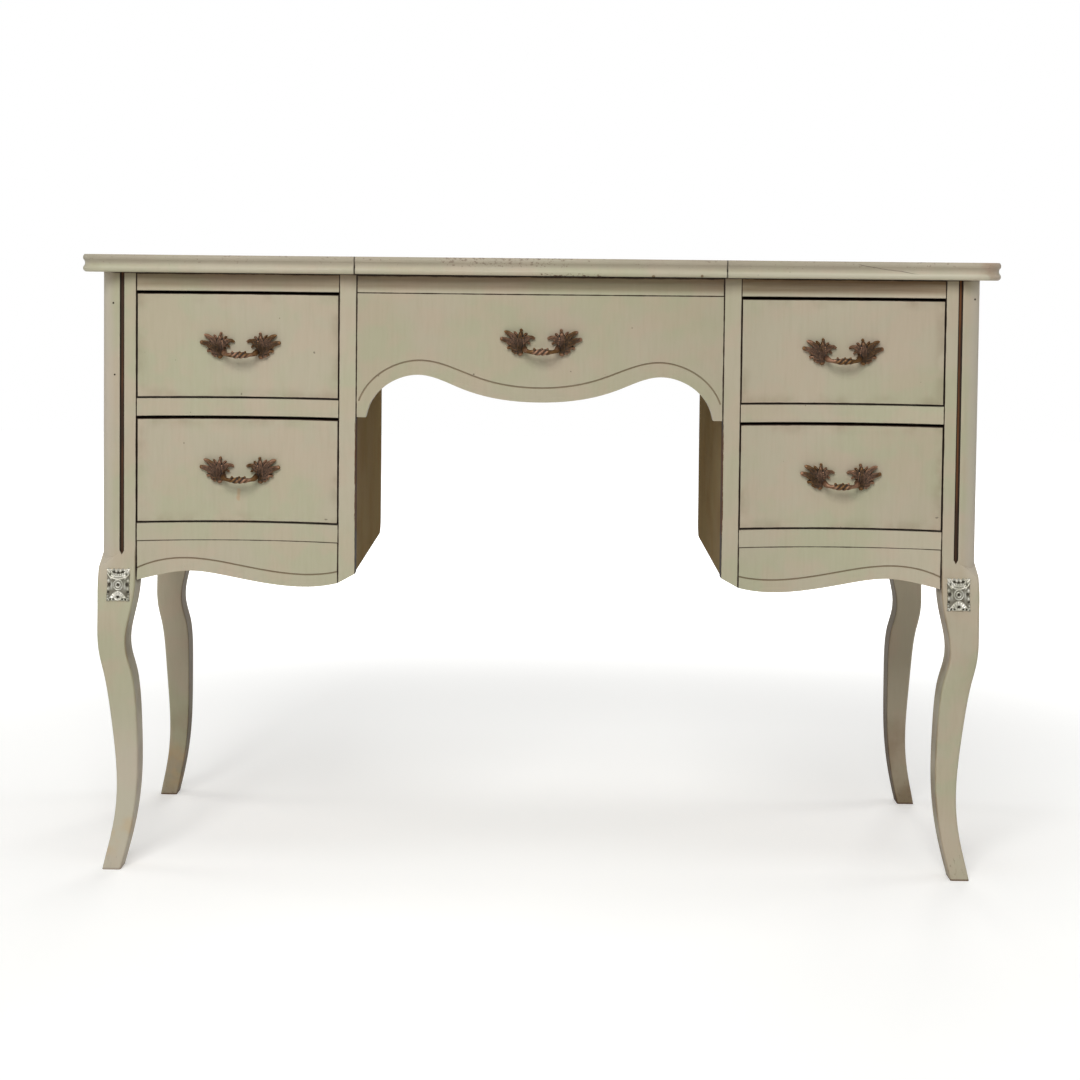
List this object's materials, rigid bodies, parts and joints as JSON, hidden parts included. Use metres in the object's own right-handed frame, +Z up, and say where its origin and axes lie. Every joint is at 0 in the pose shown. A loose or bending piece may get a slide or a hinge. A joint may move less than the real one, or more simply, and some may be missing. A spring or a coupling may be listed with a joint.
{
  "type": "dressing table",
  "caption": "Poudreuse dressing table with serpentine front, cabriole legs, two pedestals of drawers and a lift-up mirror lid over a shallow well.",
  "frame": {"origin": "on the floor, in the middle of the overall box in plan", "axes": "+Z up, the front faces -Y, +X to the right as seen from the front"},
  "size_m": [1.122, 0.4813, 0.7634],
  "materials": {
    "painted_wood": "antiqued cream paint, satin, worn at the edges",
    "drawer_wood": "bare softwood, lightly waxed",
    "well_wood": "painted wood",
    "backing_board": "bare plywood",
    "antique_copper": "antiqued copper casting with dark recesses",
    "antique_silver": "antiqued silver casting",
    "brass": "polished brass, lightly aged",
    "screw_steel": "plated steel",
    "mirror": "silvered plate glass"
  },
  "bodies": {
    "case": {"leg_front_left": "painted_wood", "leg_rear_left": "painted_wood", "inner_stile_left": "painted_wood", "inner_side_left": "painted_wood", "outer_side_left": "painted_wood", "apron_left": "painted_wood", "top_left": "painted_wood", "back_left": "backing_board", "leg_front_right": "painted_wood", "leg_rear_right": "painted_wood", "inner_stile_right": "painted_wood", "inner_side_right": "painted_wood", "outer_side_right": "painted_wood", "apron_right": "painted_wood", "top_right": "painted_wood", "back_right": "backing_board", "top_rails": "painted_wood", "middle_rails": "painted_wood", "bottom_rails": "painted_wood", "centre_rail": "painted_wood", "centre_front": "painted_wood", "top_rear_strip": "painted_wood", "drawer_runners": "drawer_wood", "well_sides": "well_wood", "well_bottom": "well_wood", "well_back": "well_wood", "knee_rosettes": "antique_silver", "pull_centre": "antique_copper", "pull_screws_centre": "screw_steel", "hinge_leaves_fixed": "brass", "hinge_pins": "brass", "hinge_screws_fixed": "brass", "stay_guides": "brass"},
    "lid": {"lid": "painted_wood", "mirror_frame": "painted_wood", "mirror_glass": "mirror", "mirror_backing": "backing_board", "hinge_leaves_lid": "brass", "hinge_screws_lid": "brass", "lid_stays": "brass"},
    "drawer_upper_left": {"drawer_front_upper_left": "painted_wood", "drawer_walls_upper_left": "drawer_wood", "drawer_bottom_upper_left": "drawer_wood", "pull_upper_left": "antique_copper", "pull_screws_upper_left": "screw_steel"},
    "drawer_upper_right": {"drawer_front_upper_right": "painted_wood", "drawer_walls_upper_right": "drawer_wood", "drawer_bottom_upper_right": "drawer_wood", "pull_upper_right": "antique_copper", "pull_screws_upper_right": "screw_steel"},
    "drawer_lower_left": {"drawer_front_lower_left": "painted_wood", "drawer_walls_lower_left": "drawer_wood", "drawer_bottom_lower_left": "drawer_wood", "pull_lower_left": "antique_copper", "pull_screws_lower_left": "screw_steel"},
    "drawer_lower_right": {"drawer_front_lower_right": "painted_wood", "drawer_walls_lower_right": "drawer_wood", "drawer_bottom_lower_right": "drawer_wood", "pull_lower_right": "antique_copper", "pull_screws_lower_right": "screw_steel"}
  },
  "joints": [
    {"name": "lid_hinge", "type": "hinge", "parent": "case", "child": "lid", "pos_m": [0, 0.1685, 0.7612], "axis": [-1, 0, 0], "range_deg": [0, 100]},
    {"name": "drawer_upper_left_slide", "type": "slide", "parent": "case", "child": "drawer_upper_left", "axis": [0, -1, 0], "range_m": [0, 0.3]},
    {"name": "drawer_upper_right_slide", "type": "slide", "parent": "case", "child": "drawer_upper_right", "axis": [0, -1, 0], "range_m": [0, 0.3]},
    {"name": "drawer_lower_left_slide", "type": "slide", "parent": "case", "child": "drawer_lower_left", "axis": [0, -1, 0], "range_m": [0, 0.3]},
    {"name": "drawer_lower_right_slide", "type": "slide", "parent": "case", "child": "drawer_lower_right", "axis": [0, -1, 0], "range_m": [0, 0.3]}
  ]
}
